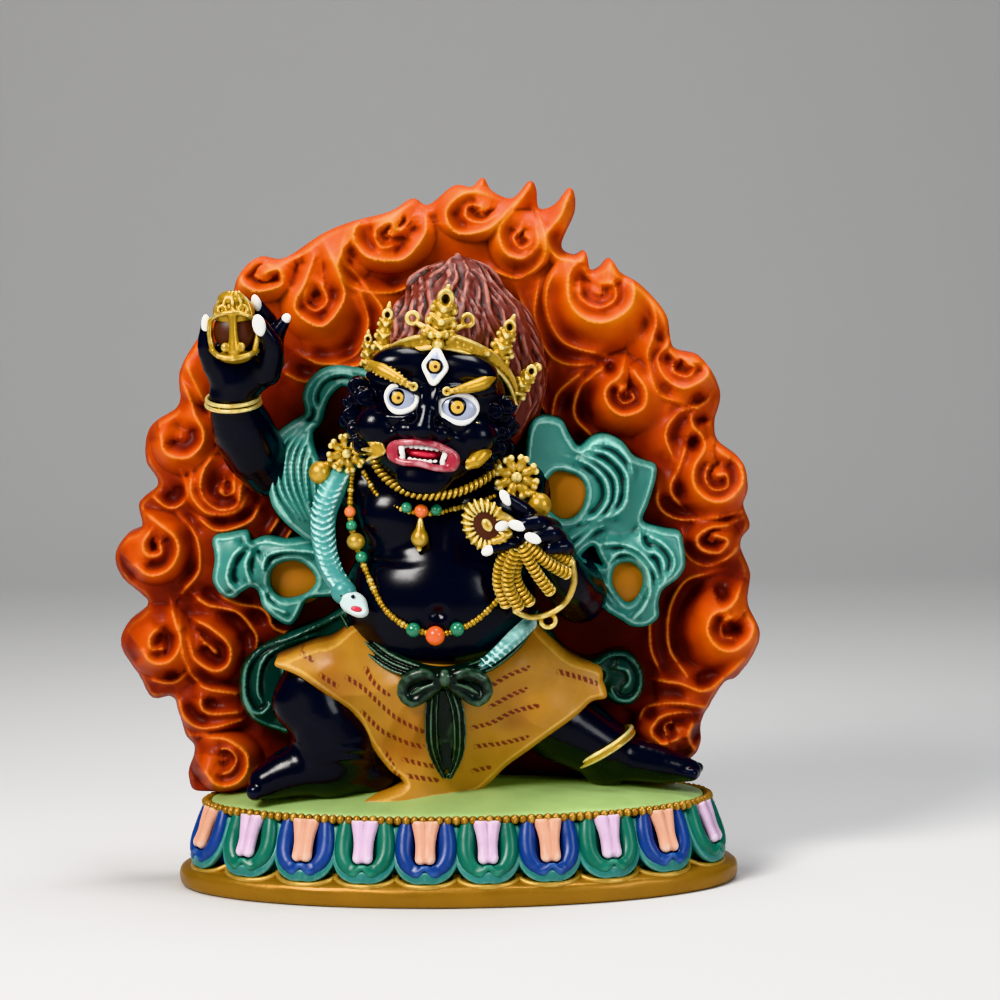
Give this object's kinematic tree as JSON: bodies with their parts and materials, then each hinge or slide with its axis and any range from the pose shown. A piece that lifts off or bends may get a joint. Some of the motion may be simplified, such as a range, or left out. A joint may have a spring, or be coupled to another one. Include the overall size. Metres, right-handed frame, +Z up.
{
  "type": "deity statuette",
  "caption": "Painted cast-resin statuette of a wrathful deity before a ring of flames on an oval lotus plinth.",
  "frame": {"origin": "centre of the plinth's underside", "axes": "+Z up through the plinth's underside, -Y the way the figure faces, +X to the right seen from the front"},
  "size_m": [0.1382, 0.0596, 0.1489],
  "materials": {
    "foot_gold": "satin gold paint on cast resin",
    "body_navy": "gloss navy-black paint on cast resin",
    "flame_orange": "satin shaded orange paint on cast resin",
    "gold_paint": "brushed yellow-gold paint with a dark wash in its hollows on cast resin",
    "scarf_teal": "teal paint, lighter on the folds on cast resin",
    "web_ochre": "dull ochre-gold paint on cast resin",
    "skirt_yellow": "yellow ochre paint with red-brown dashes on cast resin",
    "hair_red": "matt red-brown paint on cast resin",
    "top_green": "pale green paint on cast resin",
    "petal_green": "green paint on cast resin",
    "petal_blue": "blue paint on cast resin",
    "petal_rim": "pale teal paint on cast resin",
    "tongue_lilac": "pale lilac paint on cast resin",
    "tongue_peach": "pale peach paint on cast resin",
    "white_paint": "white paint on cast resin",
    "mouth_pink": "pink and red paint on cast resin",
    "sash_green": "very dark green paint on cast resin",
    "bead_orange": "orange paint on cast resin",
    "bead_green": "green paint on cast resin"
  },
  "bodies": {
    "root": {"lotus_base": "foot_gold", "figure": "body_navy", "flame_aureole": "flame_orange"}
  },
  "joints": []
}
